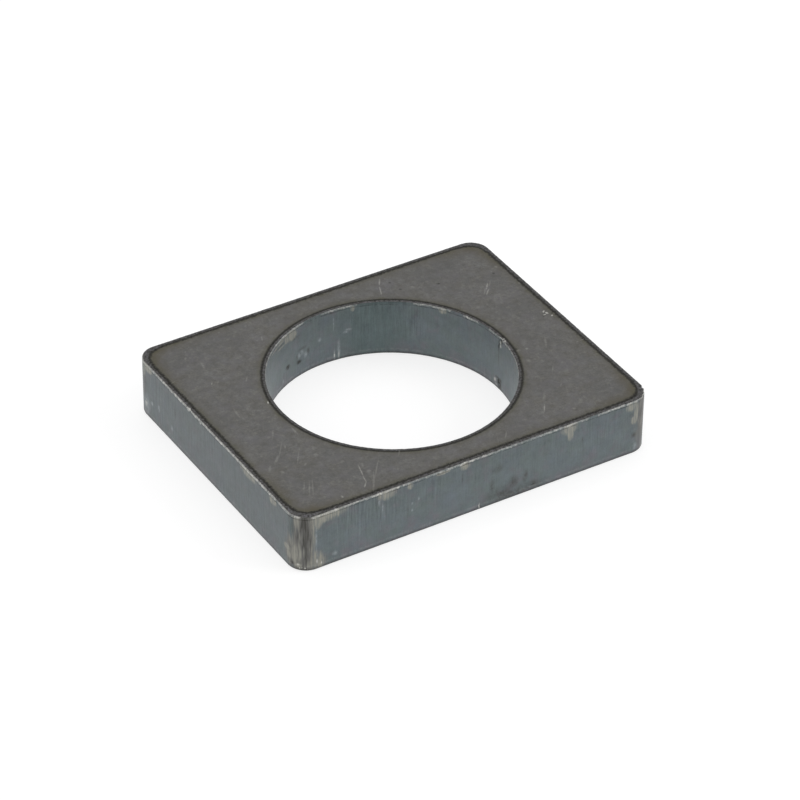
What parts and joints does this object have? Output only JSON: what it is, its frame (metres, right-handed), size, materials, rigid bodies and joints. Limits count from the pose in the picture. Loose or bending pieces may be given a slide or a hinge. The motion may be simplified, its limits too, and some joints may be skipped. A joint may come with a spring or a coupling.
{
  "type": "locking plate",
  "caption": "Flat rectangular steel locking plate with rounded corners and a large central round hole for a pin or shaft.",
  "frame": {"origin": "on the axis of the hole, in the plane of the underside", "axes": "+Z along the hole's axis, from the underside up through the plate; +X along the plate's long side"},
  "size_m": [0.05, 0.04, 0.008],
  "materials": {
    "steel": "hot-rolled faces, laser-cut walls with a thin blue-grey oxide skin, worn bare in patches"
  },
  "bodies": {
    "root": {"locking_plate": "steel"}
  },
  "joints": []
}
